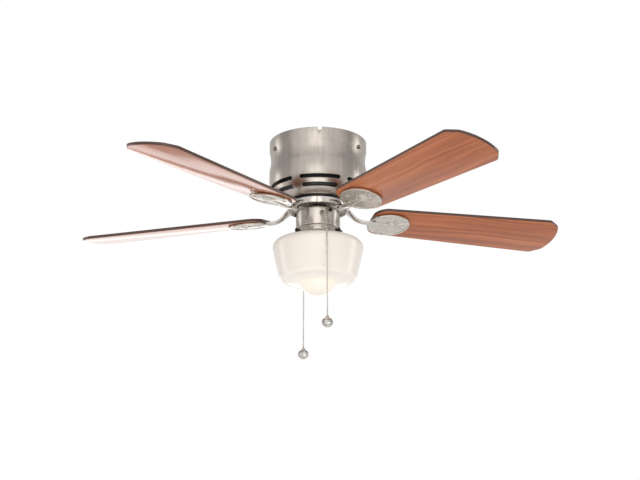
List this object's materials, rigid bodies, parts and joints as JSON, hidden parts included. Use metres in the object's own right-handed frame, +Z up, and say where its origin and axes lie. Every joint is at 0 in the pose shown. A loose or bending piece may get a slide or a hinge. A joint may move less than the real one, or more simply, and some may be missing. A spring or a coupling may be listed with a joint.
{
  "type": "ceiling fan with light",
  "caption": "Flush-mount ceiling fan with wood blades, brushed nickel motor housing, an opal glass light kit and pull chains.",
  "frame": {"origin": "centre of the ceiling face, midway between the two outlet-box screw slots", "axes": "+Z up into the ceiling, along the fan's axis; the outlet-box screws lie along X; the speed chain hangs on the -Y side"},
  "size_m": [1.026, 0.9916, 0.444],
  "materials": {
    "shell_nickel": "brushed nickel, warm grey, fine lines up the wall",
    "collar_nickel": "brushed nickel",
    "arm_nickel": "polished nickel, bright",
    "blade_wood": "satin lacquered medium cherry, darker edges",
    "dark_screw": "dark oxide",
    "plated_screw": "zinc plated",
    "plated_steel": "zinc plated sheet and bar",
    "bright_steel": "ground steel",
    "core_steel": "stacked silicon steel sheets",
    "winding_copper": "enamelled copper wire",
    "cast_alloy": "cast, matte",
    "soft_rubber": "matte",
    "fibre_washer": "vulcanised fibre",
    "moulded_white": "moulded",
    "moulded_black": "moulded",
    "lead_insulation": "satin insulation",
    "bushing_nickel": "antiqued nickel",
    "chain_nickel": "bright beads",
    "pendant_nickel": "polished, faceted",
    "holder_ceramic": "white glaze",
    "lamp_cap_metal": "bright",
    "lamp_glass": "frosted, lit warm",
    "opal_glass": "opal, satin, lit from inside"
  },
  "bodies": {
    "ceiling_unit": {"ceiling_bracket": "plated_steel", "hanger_posts": "plated_steel", "rubber_grommets": "soft_rubber", "hanger_plate": "plated_steel", "hanger_screws": "plated_screw", "terminal_block": "moulded_white", "supply_leads": "lead_insulation", "motor_shaft": "bright_steel", "shaft_nuts": "plated_steel", "bearing_inner_rings": "bright_steel", "stator_core": "core_steel", "stator_windings": "winding_copper", "motor_housing": "shell_nickel", "housing_screws": "dark_screw", "switch_plate": "plated_steel", "switch_housing": "collar_nickel", "switch_housing_screws": "dark_screw", "speed_switch": "moulded_black", "light_switch": "moulded_black", "chain_bushings": "bushing_nickel", "reverse_switch": "moulded_black", "run_capacitor": "moulded_black", "light_fitter": "collar_nickel", "fitter_nipple": "plated_steel", "fitter_nuts": "plated_steel", "lamp_holder": "holder_ceramic", "lamp_cap": "lamp_cap_metal", "lamp_envelope": "lamp_glass", "lamp_leads": "lead_insulation", "glass_shade": "opal_glass", "speed_chain_upper": "chain_nickel", "light_chain_upper": "chain_nickel"},
    "rotor": {"bearing_outer_rings": "bright_steel", "bearing_balls": "bright_steel", "rotor_core": "core_steel", "rotor_upper_cover": "cast_alloy", "rotor_lower_cover": "cast_alloy", "rotor_screws": "plated_screw", "flywheel": "cast_alloy", "arm_screws": "plated_screw", "blade_screws": "plated_screw", "blade_washers": "fibre_washer", "blade_arm_1": "arm_nickel", "blade_arm_2": "arm_nickel", "blade_arm_3": "arm_nickel", "blade_arm_4": "arm_nickel", "blade_arm_5": "arm_nickel", "blade_1": "blade_wood", "blade_2": "blade_wood", "blade_3": "blade_wood", "blade_4": "blade_wood", "blade_5": "blade_wood"},
    "speed_pull": {"speed_chain_lower": "chain_nickel", "speed_pendant": "pendant_nickel"},
    "light_pull": {"light_chain_lower": "chain_nickel", "light_pendant": "pendant_nickel"},
    "reverse_slider": {"reverse_knob": "moulded_black"},
    "thumb_1": {"thumb_screw_1": "dark_screw"},
    "thumb_2": {"thumb_screw_2": "dark_screw"},
    "thumb_3": {"thumb_screw_3": "dark_screw"}
  },
  "joints": [
    {"name": "blade_spin", "type": "hinge", "parent": "ceiling_unit", "child": "rotor", "pos_m": [0, 0, -0.09], "axis": [0, 0, 1], "continuous": true},
    {"name": "speed_pull_travel", "type": "slide", "parent": "ceiling_unit", "child": "speed_pull", "axis": [0, 0, -1], "range_m": [0, 0.009], "stiffness_N_per_m": 400, "springref_m": -0.012},
    {"name": "light_pull_travel", "type": "slide", "parent": "ceiling_unit", "child": "light_pull", "axis": [0, 0, -1], "range_m": [0, 0.007], "stiffness_N_per_m": 400, "springref_m": -0.012},
    {"name": "reverse_travel", "type": "slide", "parent": "ceiling_unit", "child": "reverse_slider", "axis": [0, 0, 1], "range_m": [0, 0.004]},
    {"name": "thumb_1_travel", "type": "slide", "parent": "ceiling_unit", "child": "thumb_1", "axis": [-0.8746, -0.4848, 0], "range_m": [0, 0.004]},
    {"name": "thumb_2_travel", "type": "slide", "parent": "ceiling_unit", "child": "thumb_2", "axis": [0.8572, -0.515, 0], "range_m": [0, 0.004]},
    {"name": "thumb_3_travel", "type": "slide", "parent": "ceiling_unit", "child": "thumb_3", "axis": [0.0175, 0.9998, 0], "range_m": [0, 0.004]}
  ]
}
